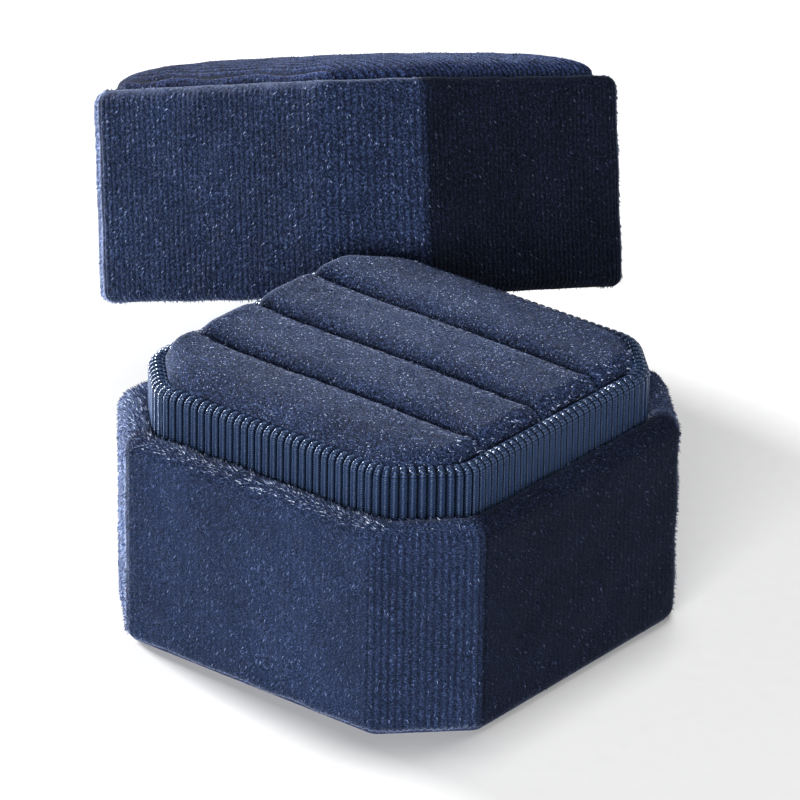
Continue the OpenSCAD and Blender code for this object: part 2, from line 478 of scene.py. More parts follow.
@dataclass(frozen=True)
class GrosgrainFinish:
    """Woven grosgrain ribbon: satin warp floating over thick weft cords."""

    warp: str = "#1b2b4a"
    # Painted shade: the dark colour of the gaps between the cords and between the weft threads.
    gap: str = "#070c17"
    weft_pitch: float = 0.27
    sheen: float = 0.55

    def material(self, cord: bool) -> bpy.types.Material:
        """Builds the finish of a cord, or of the ground between the cords, whose dark colour is painted shade."""
        material = bpy.data.materials.new("woven_grosgrain_cord" if cord else "woven_grosgrain_ground")
        material.use_nodes = True
        tree = material.node_tree
        shader = tree.nodes["Principled BSDF"]
        run = add_node(tree, "ShaderNodeUVMap", uv_map="cloth")
        weft = add_node(
            tree, "ShaderNodeTexWave",
            {"Vector": run.outputs["UV"], "Scale": 2 * math.pi / 20 / (self.weft_pitch * MM), "Distortion": 0.0},
            bands_direction="Y",
        )
        # Painted shade: the weft lines are darkened towards the gap colour between the weft threads.
        thread = set_ramp(
            add_node(tree, "ShaderNodeValToRGB", {"Fac": weft.outputs["Fac"]}), [(0.0, self.gap), (0.45, self.warp)]
        )
        # Painted shade: crown is 0 on the inner half of each cord and on the ground, so the colour falls to the gap
        # colour and the sheen to 0 there.
        crown = add_node(tree, "ShaderNodeAttribute", attribute_name="crown").outputs["Fac"]
        colour = add_node(tree, "ShaderNodeMix", {0: crown, 6: linear(self.gap), 7: thread}, data_type="RGBA").outputs[2]
        sheen = add_node(tree, "ShaderNodeMath", {0: crown, 1: self.sheen}, operation="MULTIPLY")
        bump = add_node(
            tree, "ShaderNodeBump", {"Height": weft.outputs["Fac"], "Strength": 0.8, "Distance": 0.09 * MM}
        )
        tree.links.new(colour, shader.inputs["Base Color"])
        tree.links.new(bump.outputs["Normal"], shader.inputs["Normal"])
        shader.inputs["Roughness"].default_value = 0.24 if cord else 0.8
        shader.inputs["Specular IOR Level"].default_value = 0.85 if cord else 0.1
        shader.inputs["Specular Tint"].default_value = linear("#a9c2e8")
        tree.links.new(sheen.outputs[0], shader.inputs["Sheen Weight"])
        shader.inputs["Sheen Roughness"].default_value = 0.4
        shader.inputs["Sheen Tint"].default_value = linear("#7898d2")
        return material


@dataclass(frozen=True)
class GrainedFinish:
    """A matt material with an even speckle, such as pressed board, foam or short-napped lining."""

    name: str
    dark: str
    light: str
    grain: float
    roughness: float
    depth: float = 0.05
    sheen: float = 0.0

    def material(self) -> bpy.types.Material:
        """Builds the speckled finish."""
        material = bpy.data.materials.new(self.name)
        material.use_nodes = True
        tree = material.node_tree
        shader = tree.nodes["Principled BSDF"]
        place = add_node(tree, "ShaderNodeTexCoord").outputs["Object"]
        grain = add_node(tree, "ShaderNodeTexNoise", {"Vector": place, "Scale": 1 / (self.grain * MM), "Detail": 4.0})
        colour = set_ramp(
            add_node(tree, "ShaderNodeValToRGB", {"Fac": grain.outputs["Fac"]}),
            [(0.3, self.dark), (0.7, self.light)],
        )
        bump = add_node(
            tree, "ShaderNodeBump", {"Height": grain.outputs["Fac"], "Strength": 0.5, "Distance": self.depth * MM}
        )
        tree.links.new(colour, shader.inputs["Base Color"])
        tree.links.new(bump.outputs["Normal"], shader.inputs["Normal"])
        shader.inputs["Roughness"].default_value = self.roughness
        shader.inputs["Sheen Weight"].default_value = self.sheen
        return material


# ---------------------------------------------------------------- pile and wales


@dataclass(frozen=True)
class Wales:
    """Fine cords of the velvet, which run up the walls."""

    pitch: float = 0.78
    depth: float = 0.12
    sag: float = 0.1
    sharp: float = 0.7

    def profile(self, across: np.ndarray) -> np.ndarray:
        """Returns 0 in a valley and 1 on a crest, for a length across the cords."""
        return np.abs(np.cos(math.pi * across / self.pitch)) ** self.sharp


@dataclass(frozen=True)
class Pile:
    """Cut fibre bundles that stand on the velvet's ground."""

    density: float = 13.0
    length: float = 0.32
    width: float = 0.055
    spread: float = 0.4
    lean: tuple[float, float, float] = (0.0, 0.0, -1.0)
    seed: int = 11
    share: str = "pile"

    def tree(self, material: bpy.types.Material) -> bpy.types.NodeTree:
        """Builds the node tree that plants the bundles.

        Args:
            material: Finish of the bundles.

        Returns:
            The geometry node tree, with a named input for each size.
        """
        tree = bpy.data.node_groups.new("plant_pile", "GeometryNodeTree")
        face = tree.interface
        face.new_socket("Geometry", in_out="INPUT", socket_type="NodeSocketGeometry")
        for name in ("Density", "Length", "Width", "Spread"):
            face.new_socket(name, in_out="INPUT", socket_type="NodeSocketFloat")
        face.new_socket("Lean", in_out="INPUT", socket_type="NodeSocketVector")
        face.new_socket("Seed", in_out="INPUT", socket_type="NodeSocketInt")
        face.new_socket("Geometry", in_out="OUTPUT", socket_type="NodeSocketGeometry")
        given = tree.nodes.new("NodeGroupInput").outputs
        weight = add_node(tree, "GeometryNodeInputNamedAttribute", {"Name": self.share}, data_type="FLOAT")
        density = add_node(tree, "ShaderNodeMath", {0: given["Density"], 1: weight.outputs["Attribute"]}, operation="MULTIPLY")
        plant = add_node(
            tree, "GeometryNodeDistributePointsOnFaces",
            {"Mesh": given["Geometry"], "Density": density.outputs[0], "Seed": given["Seed"]},
            distribute_method="RANDOM",
        )
        stray = add_node(
            tree, "FunctionNodeRandomValue", {0: (-1, -1, -1), 1: (1, 1, 1), 8: 5}, data_type="FLOAT_VECTOR"
        )
        wide = add_node(
            tree, "ShaderNodeVectorMath", {0: stray.outputs[0], "Scale": given["Spread"]}, operation="SCALE"
        )
        leant = add_node(tree, "ShaderNodeVectorMath", {0: plant.outputs["Normal"], 1: given["Lean"]}, operation="ADD")
        aim = add_node(tree, "ShaderNodeVectorMath", {0: leant.outputs[0], 1: wide.outputs[0]}, operation="ADD")
        turn = add_node(tree, "FunctionNodeAlignRotationToVector", {"Vector": aim.outputs[0]}, axis="Z")
        tone = add_node(tree, "FunctionNodeRandomValue", {2: 0.0, 3: 1.0, 8: 9}, data_type="FLOAT")
        toned = add_node(
            tree, "GeometryNodeStoreNamedAttribute",
            {"Geometry": plant.outputs["Points"], "Name": "tone", "Value": tone.outputs[1]},
            data_type="FLOAT", domain="POINT",
        )
        size = add_node(tree, "FunctionNodeRandomValue", {2: 0.6, 3: 1.3, 8: 3}, data_type="FLOAT")
        bundle = add_node(
            tree, "GeometryNodeMeshCone",
            {"Vertices": 3, "Radius Top": 0.0, "Radius Bottom": given["Width"], "Depth": given["Length"]},
        )
        planted = add_node(
            tree, "GeometryNodeInstanceOnPoints",
            {
                "Points": toned.outputs[0], "Instance": bundle.outputs["Mesh"],
                "Rotation": turn.outputs[0], "Scale": size.outputs[1],
            },
        )
        real = add_node(tree, "GeometryNodeRealizeInstances", {"Geometry": planted.outputs[0]})
        done = add_node(tree, "GeometryNodeSetMaterial", {"Geometry": real.outputs[0], "Material": material})
        out = tree.nodes.new("NodeGroupOutput")
        tree.links.new(done.outputs[0], out.inputs[0])
        return tree

    def grow(self, name: str, ground: bpy.types.Mesh, material: bpy.types.Material) -> bpy.types.Object:
        """Plants the pile on a ground mesh.

        Args:
            name: Name of the new piece.
            ground: Mesh with the attribute named by share, from 0 for bare to 1 for full.
            material: Finish of the fibres.

        Returns:
            The pile as a plain mesh object.
        """
        values = {
            "Density": self.density / MM**2, "Length": self.length * MM, "Width": self.width * MM,
            "Spread": self.spread, "Lean": self.lean, "Seed": self.seed,
        }
        return run_tree(name, ground, self.tree(material), values, material)


def run_tree(
    name: str, source: bpy.types.Mesh, tree: bpy.types.NodeTree, values: dict[str, Any], material: bpy.types.Material
) -> bpy.types.Object:
    """Runs a geometry node tree on a mesh and keeps the result as a plain piece.

    Args:
        name: Name of the new piece.
        source: Mesh that the tree starts from.
        tree: The geometry node tree.
        values: Value of each named input.
        material: Finish of the result.

    Returns:
        A new object with no modifier.
    """
    seed = bpy.data.objects.new(f"{name}_source", source)
    bpy.context.collection.objects.link(seed)
    modifier = seed.modifiers.new("make", "NODES")
    modifier.node_group = tree
    sockets = {s.name: s.identifier for s in tree.interface.items_tree if s.in_out == "INPUT"}
    for key, value in values.items():
        modifier[sockets[key]] = value
    seed.update_tag()
    graph = bpy.context.evaluated_depsgraph_get()
    mesh = bpy.data.meshes.new_from_object(seed.evaluated_get(graph), depsgraph=graph)
    mesh.name = name
    bpy.data.objects.remove(seed)
    return new_object(name, mesh, material)


# ---------------------------------------------------------------- the box


@dataclass(frozen=True)
class Plan:
    """Sizes that the base, the collar, the insert and the lid share."""

    width: float = 50.0
    leg: float = 8.2
    corner: float = 2.4
    velvet: float = 0.8
    ledge: float = 3.2
    collar_corner: float = 5.5
    ribbon: float = 0.5
    collar_board: float = 0.9
    clearance: float = 0.3

    @property
    def outline(self) -> Outline:
        """The outer plan of the base and of the lid."""
        return Outline(self.width, self.leg, self.corner)

    @property
    def collar(self) -> Outline:
        """The outer plan of the ribbon collar."""
        return self.outline.inset(self.ledge, self.collar_corner)

    @property
    def insert(self) -> Outline:
        """The plan of the padded insert."""
        depth = 2 * self.ribbon + self.collar_board + self.clearance
        return self.collar.inset(depth, self.collar_corner - 1)


def wrap_lift(
    wales: Wales, calm_faces: tuple[int, ...], rim: float, seed: float
) -> Callable[[np.ndarray, np.ndarray, np.ndarray], tuple[np.ndarray, np.ndarray]]:
    """Makes the function that raises wales on a wall wrap.

    Args:
        wales: The cords of the velvet.
        calm_faces: Stretch numbers of the faces whose nap is brushed over the cords.
        rim: Height above which the nap hides the cords.
        seed: Number that shifts the unevenness.

    Returns:
        A function for Sweep.build.
    """

    def lift(points: np.ndarray, along: np.ndarray, places: np.ndarray) -> tuple[np.ndarray, np.ndarray]:
        shape = np.broadcast_to(wales.profile(along)[None], points.shape[:2]).copy()
        hidden = np.isin(np.floor(places).astype(int), calm_faces)[None] | (points[..., 2] > rim)
        shape = np.where(hidden, 0.8 + 0.2 * shape, shape)
        uneven = ripple(points, 7.0, seed)
        shape *= 0.85 + 0.15 * ripple(points, 2.3, seed + 1)
        return shape, wales.depth * (shape - 1) + wales.sag * uneven

    return lift


@dataclass
class Base:
    """Velvet-wrapped lower box with its soft ledge."""

    plan: Plan
    finish: VelvetFinish
    height: float = 23.8
    bead: float = 1.7
    crown: float = 0.35
    foot: float = 1.2
    calm_faces: tuple[int, ...] = (0, 10, 11, 15)
    columns: int = 1400
    # These two set the nap attribute: painted shade on the right-facing faces and painted light on the left-facing
    # ones.
    painted_right_shade: float = 0.66
    toward: float = 0.7
    wales: Wales = field(default_factory=lambda: Wales(depth=0.2, sharp=0.9))

    def section(self) -> list[SectionPoint]:
        """Lays out the wrap's section: up the wall, over the bead, in to the collar and back."""
        corner, ledge, velvet = self.plan.corner, self.plan.ledge, self.plan.velvet
        grow = (self.plan.collar_corner - corner) / ledge
        foot = arc_points((self.foot, self.foot + 0.1), (self.foot, self.foot), 270, 180, 5)
        low = self.foot + 0.1
        wall = [(0.0, low + (self.height - self.bead - low) * i / 22) for i in range(1, 22)]
        rim = arc_points((self.bead, self.height - self.bead), (self.bead, self.bead + self.crown), 180, 90, 8)
        inner = arc_points((self.bead, self.height - 1.2), (ledge - self.bead, 1.2 + self.crown), 90, 20, 6)[1:]
        outer = foot + wall + rim + inner
        points = [
            SectionPoint(i, z, corner + grow * i, fuzz=float(z > 0.8), crest=float(z > self.height - 0.3)) for i, z in outer
        ]
        hidden = [(ledge, self.height - velvet - 0.4), (velvet + 0.3, self.height - velvet - 0.4), (velvet + 0.3, 0.1)]
        points += [SectionPoint(i, z, corner + grow * i, 0.0) for i, z in hidden]
        return points

    def build(self) -> None:
        """Makes the wrap and its pile."""
        sweep = Sweep(self.plan.outline, self.section(), self.columns, self.painted_right_shade, self.toward)
        mesh = sweep.build("base_velvet_wrap", wrap_lift(self.wales, self.calm_faces, self.height - 0.5, 0.7))
        wrap = new_object("base_velvet_wrap", mesh, self.finish.ground_material())
        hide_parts("base_velvet")
        dress(wrap, Body.BASE)
        tip = self.finish.tip_material()
        for layer, lean in ((1, (0.0, 0.0, -1.1)), (2, (0.9, -0.3, -0.3))):
            pile = Pile(seed=10 + layer, lean=lean).grow(f"base_velvet_pile_{layer}", mesh, tip)
            dress(pile, Body.BASE)
        # A fringe of fibres on the top edge; its pale colour and its absence from the right-facing faces are painted
        # highlight.
        highlight_fringe_finish = replace(self.finish, name="painted_highlight_fringe", tip_fair="#7182a8", tip_lit="#dbe6fb")
        fringe = Pile(seed=17, density=24.0, length=0.36, width=0.05, lean=(-0.7, -0.5, 0.0), share="crest")
        pile = fringe.grow("base_velvet_fringe", mesh, highlight_fringe_finish.tip_material())
        dress(pile, Body.BASE)


@dataclass
class Collar:
    """Ribbon-covered collar: a ground painted dark as shade between the cords, with one thick cord after another."""

    plan: Plan
    finish: GrosgrainFinish
    top: float = 29.0
    tail_out: float = 16.0
    tail_in: float = 21.2
    pitch: float = 0.98
    half_cord: float = 0.41
    thick: float = 0.4
    roll: float = 0.95

    def path(self, depth: float) -> list[tuple[float, float]]:
        """Lays out the line over the collar's edge.

        Args:
            depth: How far inside the ribbon's outer face the line lies.

        Returns:
            Points in inset and height, from the outer tail over the top to the inner one.
        """
        thick = 2 * self.plan.ribbon + self.plan.collar_board
        middle = thick / 2
        reach = middle - depth
        up = [(depth, self.tail_out + 6 + (self.top - self.roll - self.tail_out - 6) * i / 8) for i in range(8)]
        over = arc_points((middle, self.top - self.roll), (reach, self.roll - depth), 180, 0, 14)
        down = [(thick - depth, self.top - self.roll - (self.top - self.roll - self.tail_in) * i / 6) for i in (1, 3, 6)]
        return up + over + down

    def cord_mesh(self) -> bpy.types.Mesh:
        """Makes one closed cord bent over the edge, at x = 0 with the outside towards -y."""
        line = self.path(self.thick * 0.6)
        sides = 10
        points, faces, lengths = [], [], [0.0]
        for i, (inset, height) in enumerate(line):
            before, after = line[max(i - 1, 0)], line[min(i + 1, len(line) - 1)]
            step = Vector((0, after[0] - before[0], after[1] - before[1])).normalized()
            side = Vector((1, 0, 0))
            up = side.cross(step)
            if i:
                lengths.append(lengths[-1] + math.dist(line[i - 1], line[i]))
            for k in range(sides):
                a = 2 * math.pi * k / sides
                out = side * self.half_cord * math.cos(a) + up * self.thick * math.sin(a)
                points.append(Vector((0, inset, height)) + out)
        for i in range(len(line) - 1):
            for k in range(sides):
                a, b = i * sides + k, i * sides + (k + 1) % sides
                faces.append((a, b, b + sides, a + sides))
        last = (len(line) - 1) * sides
        faces.append(tuple(reversed(range(sides))))
        faces.append(tuple(range(last, last + sides)))
        mesh = make_mesh("cord", np.array([tuple(p) for p in points]), faces)
        layer = mesh.uv_layers.new(name="cloth")
        for loop in mesh.loops:
            row, k = divmod(loop.vertex_index, sides)
            layer.data[loop.index].uv = (self.half_cord * k / sides * MM, lengths[row] * MM)
        # Painted shade: crown falls from 1 on the cord's outer side to 0 on its inner half, where the cords meet.
        crown = np.clip(np.sin(2 * np.pi * np.arange(sides) / sides), 0, 1)
        set_attribute(mesh, "crown", np.tile(crown, len(line)))
        return mesh

    def tree(self, material: bpy.types.Material) -> bpy.types.NodeTree:
        """Builds the node tree that sets a cord at even steps along the collar's outline."""
        tree = bpy.data.node_groups.new("lay_cords", "GeometryNodeTree")
        face = tree.interface
        face.new_socket("Geometry", in_out="INPUT", socket_type="NodeSocketGeometry")
        face.new_socket("Count", in_out="INPUT", socket_type="NodeSocketInt")
        face.new_socket("Cord", in_out="INPUT", socket_type="NodeSocketObject")
        face.new_socket("Geometry", in_out="OUTPUT", socket_type="NodeSocketGeometry")
        given = tree.nodes.new("NodeGroupInput").outputs
        line = add_node(tree, "GeometryNodeMeshToCurve", {"Mesh": given["Geometry"]})
        even = add_node(tree, "GeometryNodeResampleCurve", {"Curve": line.outputs[0], "Count": given["Count"]})
        tangent = tree.nodes.new("GeometryNodeInputTangent")
        turn = add_node(tree, "FunctionNodeAlignRotationToVector", {"Vector": tangent.outputs[0]}, axis="X", pivot_axis="Z")
        cord = add_node(tree, "GeometryNodeObjectInfo", {"Object": given["Cord"]})
        laid = add_node(
            tree, "GeometryNodeInstanceOnPoints",
            {"Points": even.outputs[0], "Instance": cord.outputs["Geometry"], "Rotation": turn.outputs[0]},
        )
        real = add_node(tree, "GeometryNodeRealizeInstances", {"Geometry": laid.outputs[0]})
        done = add_node(tree, "GeometryNodeSetMaterial", {"Geometry": real.outputs[0], "Material": material})
        out = tree.nodes.new("NodeGroupOutput")
        tree.links.new(done.outputs[0], out.inputs[0])
        return tree

    def build(self) -> None:
        """Makes the ribbon's ground and its cords."""
        depth = 0.32
        line = self.path(depth)
        corner = self.plan.collar_corner
        section = [SectionPoint(i, z, corner - 0.6 * i) for i, z in line]
        core = [SectionPoint(i, z, corner - 0.6 * i, 0.0) for i, z in reversed(self.path(depth + 0.15)[1:-1])]
        sweep = Sweep(self.plan.collar, section + core, 320)
        mesh = sweep.build("ribbon_ground", lambda p, a, s: (np.ones(p.shape[:2]), np.zeros(p.shape[:2])))
        ground = new_object("collar_ribbon_ground", mesh, self.finish.material(cord=False))
        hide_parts("collar_ribbon")
        dress(ground, Body.BASE)
        places, _ = self.plan.collar.stations(640)
        flat, _ = self.plan.collar.ring(places)
        points = np.concatenate([flat, np.zeros((len(flat), 1))], 1)
        loop = bpy.data.meshes.new("collar_line")
        edges = [(i, (i + 1) % len(points)) for i in range(len(points))]
        loop.from_pydata((points * MM).tolist(), edges, [])
        material = self.finish.material(cord=True)
        cord = new_object("cord_source", self.cord_mesh(), material)
        count = round(self.plan.collar.perimeter() / self.pitch)
        ribs = run_tree("collar_ribbon_cords", loop, self.tree(material), {"Count": count, "Cord": cord}, material)
        bpy.data.objects.remove(cord)
        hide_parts("collar_ribbon")
        dress(ribs, Body.BASE)


@dataclass
class Roll:
    """One padded roll of the insert, cut to the insert's plan."""

    number: int
    plan: Plan
    count: int = 4
    gap: float = 0.4
    bottom: float = 11.1
    top: float = 30.2
    spill: float = 0.5
    left_round: float = 1.3
    right_round: float = 1.6
    right_gap: float = 0.5
    right_fall: float = 0.3
    right_flat: float = 0.5
    left_rise: float = 0.7
    shoulder: float = 2.0
    outer_shoulder: float = 1.5
    steps_along: int = 110
    steps_across: int = 44

    def limits(self, x: np.ndarray, inset: float) -> tuple[np.ndarray, np.ndarray]:
        """Finds the roll's two long edges at each place along it.

        Args:
            x: Places along the roll.
            inset: How far inside the roll's own faces the edges lie.

        Returns:
            Lowest and highest y at each place.
        """
        width = self.plan.insert.width
        pitch = (width + self.gap) / self.count
        low = -width / 2 + (self.number - 1) * pitch
        high = low + pitch - self.gap
        low -= self.spill * (self.number == 1)
        high += self.spill * (self.number == self.count)
        outline = self.plan.insert.inset(-self.spill, self.plan.collar_corner - 0.6)
        places, _ = outline.stations(2000)
        ring, _ = outline.ring(places)
        upper = ring[ring[:, 1] > 0]
        order = np.argsort(upper[:, 0])
        reach = np.interp(np.abs(x), upper[order][:, 0], upper[order][:, 1]) - inset
        return np.maximum(low + inset, -reach), np.minimum(high - inset, reach)

    def mesh(self, name: str, inset: float) -> bpy.types.Mesh:
        """Makes the roll's closed mesh.

        Args:
            name: Name of the mesh.
            inset: Thickness left outside it for the velvet.

        Returns:
            The mesh, with a "pile" attribute on its visible upper part.
        """
        left = self.plan.insert.width / 2 + self.spill - inset
        right = self.plan.insert.width / 2 - self.right_gap - inset
        share = np.cos(np.pi * np.arange(self.steps_along + 1) / self.steps_along)
        x = (right - left) / 2 - (left + right) / 2 * np.sign(share) * np.abs(share) ** 0.75
        half = np.where(x < 0, left, right)
        low, high = self.limits(x, inset)
        u = -np.cos(np.pi * np.arange(self.steps_across + 1) / self.steps_across)
        end = np.where(x < 0, self.left_round, self.right_round)
        inside = np.clip(end - (half - np.abs(x)), 0, end)
        drop = end - np.sqrt(end**2 - inside**2)
        crown = 0.3 * (1 - (x / half) ** 2) + self.left_rise * np.clip(-x / half, 0, 1) ** 3
        crown -= self.right_fall * np.clip(x / half, 0, 1) ** 2
        top = self.top - inset - drop + crown
        middle, wide = (low + high) / 2, (high - low) / 2
        y = middle[:, None] + wide[:, None] * u[None]
        bulge = np.sqrt(np.clip(1 - np.abs(u) ** 5, 0, 1))
        front = (self.number == 1) * (u < 0)
        fall = np.where(front, self.outer_shoulder * np.abs(u) ** 2.2, self.shoulder * (1 - bulge))
        flatter = 1 - self.right_flat * np.clip((x / half - 0.5) / 0.5, 0, 1) ** 2
        z = top[:, None] - fall[None] * flatter[:, None]
        upper = np.stack([np.broadcast_to(x[:, None], y.shape), y, z], -1)
        upper[..., 2] += 0.05 * ripple(upper, 6.0, self.number) * bulge[None]
        lower = np.stack([x, low, np.full_like(x, self.bottom)], -1)[:, None]
        other = np.stack([x, high, np.full_like(x, self.bottom)], -1)[:, None]
        rows = np.concatenate([lower, upper, other], 1)
        n, m = rows.shape[:2]
        index = np.arange(n * m).reshape(n, m)
        a, b = index[:-1], index[1:]
        faces = np.stack([a, b, np.roll(b, -1, 1), np.roll(a, -1, 1)], -1).reshape(-1, 4).tolist()
        faces += [index[0][::-1].tolist(), index[-1].tolist()]
        mesh = make_mesh(name, rows.reshape(-1, 3), [f[::-1] for f in faces])
        rounded = np.ones((n - 1, m), dtype=bool)
        rounded[:, -1] = False
        mesh.polygons.foreach_set("use_smooth", np.append(rounded, [False, False]))
        # Painted shade: lower down the sides, in the slots between the rolls, and on the end rows, fade drops to 0, so
        # the wale value below turns the colour towards the valley colour; fade also takes the pile away there.
        fade = np.clip((rows[..., 2] - (self.top - 5)) / 2, 0, 1)
        fade[[0, -1]] = 0
        set_attribute(mesh, "pile", fade)
        set_attribute(mesh, "nap", np.ones_like(fade))
        set_attribute(mesh, "wale", np.clip((0.3 + 0.7 * fade) * (0.8 + 0.2 * ripple(rows, 1.1, 3.0)), 0, 1))
        return mesh


@dataclass
class Insert:
    """Four padded rolls side by side on a card."""

    plan: Plan
    finish: VelvetFinish
    foam: bpy.types.Material
    velvet: float = 0.6
    count: int = 4

    def build(self) -> None:
        """Makes each roll's foam, its velvet and its pile."""
        ground, tip = self.finish.ground_material(), self.finish.tip_material()
        for number in range(1, self.count + 1):
            roll = Roll(number, self.plan)
            core = new_object(f"insert_roll_foam_{number}", roll.mesh("foam", self.velvet), self.foam)
            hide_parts(f"insert_foam_{number}")
            dress(core, Body.INSERT)
            mesh = roll.mesh("roll", 0.0)
            cover = new_object(f"insert_roll_velvet_{number}", mesh, ground)
            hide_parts(f"insert_velvet_{number}")
            dress(cover, Body.INSERT)
            pile = Pile(seed=30 + number, density=20.0, length=0.45, width=0.075, spread=0.8, lean=(0.9, 1.1, 0.0)).grow(f"insert_roll_pile_{number}", mesh, tip)
            dress(pile, Body.INSERT)


@dataclass
class Lid:
    """Loose lid with a padded top, made upright from its mouth and then leant back."""

    plan: Plan
    finish: VelvetFinish
    dome_finish: VelvetFinish
    foam: bpy.types.Material
    height: float = 24.1
    bead: float = 1.5
    hem: float = 1.2
    board: float = 1.6
    lining: float = 0.5
    seat_drop: float = 0.8
    floor_gap: float = 0.1
    collar_gap: float = 0.4
    base_height: float = 23.8
    turn: float = -1.7
    shift: float = 1.7
    dome_rise: float = 2.6
    dome_sink: float = 2.8
    dome_inset: float = 2.45
    columns: int = 1400
    # These two set the nap attribute: painted shade on the right-facing faces and painted light on the left-facing
    # ones.
    painted_right_shade: float = 0.66
    toward: float = 0.7
    wales: Wales = field(default_factory=Wales)

    def placement(self) -> Matrix:
        """Works out where the lid leans: on the ledge behind the collar and on the table."""
        plan = self.plan
        span = (plan.width - plan.leg) * math.sqrt(2)
        wall = plan.velvet + self.board + self.lining
        tilt = math.asin((self.base_height - self.seat_drop - self.floor_gap) / (span - wall))
        front = (plan.collar.width - plan.collar.leg) / math.sqrt(2) + self.collar_gap
        reach = front + span * math.cos(tilt) / 2
        lift = self.floor_gap + span * math.sin(tilt) / 2
        place = Vector(((self.shift - reach) / math.sqrt(2), (self.shift + reach) / math.sqrt(2), lift)) * MM
        lean = Matrix.Rotation(-tilt, 4, Vector((1, 1, 0)).normalized())
        return Matrix.Translation(place) @ lean @ Matrix.Rotation(math.radians(self.turn), 4, "Z")

    def section(self) -> list[SectionPoint]:
        """Lays out the wrap's section: hem, wall, bead and the turn down beside the padding."""
        corner, velvet, bead = self.plan.corner, self.plan.velvet, self.bead
        hem = arc_points((self.hem, self.hem), (self.hem, self.hem), 270, 180, 6)
        wall = [(0.0, self.hem + (self.height - bead - self.hem) * i / 22) for i in range(1, 22)]
        rim = arc_points((bead, self.height - bead), (bead, bead), 180, 0, 16)
        outer = [(velvet + self.board, 0.0)] + hem + wall + rim
        points = [SectionPoint(i, z, corner - 0.3 * i, fuzz=1.0 if i <= 0.2 else 0.4) for i, z in outer]
        seat = self.height - self.dome_sink
        inner = velvet + self.board
        hidden = [(2 * bead, seat), (inner, seat), (inner, self.height - 1.4), (velvet, self.height - 2), (velvet, velvet), (inner, velvet)]
        points += [SectionPoint(i, z, corner - 0.3 * i, 0.0) for i, z in hidden]
        return points

    def dome_mesh(self, name: str, inset: float, wales: Wales | None) -> bpy.types.Mesh:
        """Makes the padded top as a closed crowned form.

        Args:
            name: Name of the mesh.
            inset: Thickness left outside it.
            wales: Cords across it, or None for the bare foam.

        Returns:
            The closed mesh, upright from the lid's mouth.
        """
        seat = self.height - self.dome_sink
        start = self.height - 0.4
        rise = self.dome_rise + 0.4 - inset
        rim = self.plan.outline.inset(self.dome_inset + inset, 3.0)
        rings, columns = (150, 760) if wales else (24, 160)
        places, _ = rim.stations(columns)
        flat, _ = rim.ring(places)
        share = np.linspace(1, 0, rings, endpoint=False)
        height = start + rise * (1 - share**5.5) ** (1 / 3) + 0.6 * (1 - share**2)
        share, height = np.insert(share, 0, 1.0), np.insert(height, 0, seat)
        rings += 1
        points = np.concatenate(
            [flat[None] * share[:, None, None], np.broadcast_to(height[:, None, None], (rings, columns, 1))], -1
        )
        shape = np.ones((rings, columns))
        if wales:
            bend = points[..., 1] + 0.3 * ripple(points, 9.0, 4.0)
            shape = wales.profile(bend)
            points[..., 2] += wales.depth * (shape - 1) + 0.08 * ripple(points, 7.0, 2.0)
        flat_points = points.reshape(-1, 3)
        top = [[0.0, 0.0, float(points[-1, :, 2].mean())]]
        below = [[0.0, 0.0, seat]]
        index = np.arange(rings * columns).reshape(rings, columns)
        a, b = index[:-1], index[1:]
        faces = np.stack([a, np.roll(a, -1, 1), np.roll(b, -1, 1), b], -1).reshape(-1, 4).tolist()
        crown, under = rings * columns, rings * columns + 1
        faces += [(int(p), int(q), crown) for p, q in zip(index[-1], np.roll(index[-1], -1))]
        faces += [(int(q), int(p), under) for p, q in zip(index[0], np.roll(index[0], -1))]
        mesh = make_mesh(name, np.concatenate([flat_points, top, below]), faces)
        # Painted shade: below the rim seen drops to 0, so the wale value gives the valley colour there, and the wale
        # profile gives it between the cords.
        seen = np.clip((flat_points[:, 2] - self.height + 1.2) / 0.6, 0, 1)
        both = np.concatenate([shape.reshape(-1), [1, 0]]) * np.concatenate([seen, [1, 0]])
        # Painted light and shade: nap rises from the left of the padded top to its right, so its right is painted
        # lighter and its left darker.
        side_light_share = np.append(flat_points[:, 0], [0, 0]) / (self.plan.width / 2)
        set_attribute(mesh, "wale", both)
        set_attribute(mesh, "pile", both)
        set_attribute(mesh, "nap", 1.0 + 0.35 * side_light_share)
        return mesh

    def build(self) -> None:
        """Makes the wrap, the padded top, the foam under it and their pile, all leaning."""
        place = self.placement()
        sweep = Sweep(self.plan.outline, self.section(), self.columns, self.painted_right_shade, self.toward)
        mesh = sweep.build("lid_velvet_wrap", wrap_lift(self.wales, (), self.height - 0.7, 2.9))
        mesh.transform(place)
        wrap = new_object("lid_velvet_wrap", mesh, self.finish.ground_material())
        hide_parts("lid_velvet")
        dress(wrap, Body.LID)
        tip = self.finish.tip_material()
        for layer in (1, 2):
            pile = Pile(seed=20 + layer).grow(f"lid_velvet_pile_{layer}", mesh, tip)
            dress(pile, Body.LID)
        foam = self.dome_mesh("dome_foam", 0.6, None)
        foam.transform(place)
        core = new_object("lid_dome_padding", foam, self.foam)
        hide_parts("lid_dome_foam")
        dress(core, Body.LID)
        top = self.dome_mesh("dome_velvet", 0.0, Wales(pitch=0.86, depth=0.4, sharp=1.3))
        top.transform(place)
        cover = new_object("lid_dome_cover", top, self.dome_finish.ground_material())
        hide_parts("lid_dome_velvet")
        dress(cover, Body.LID)
        nap = Pile(seed=23, density=7.0, length=0.22, width=0.05).grow("lid_dome_pile", top, self.dome_finish.tip_material())
        dress(nap, Body.LID)


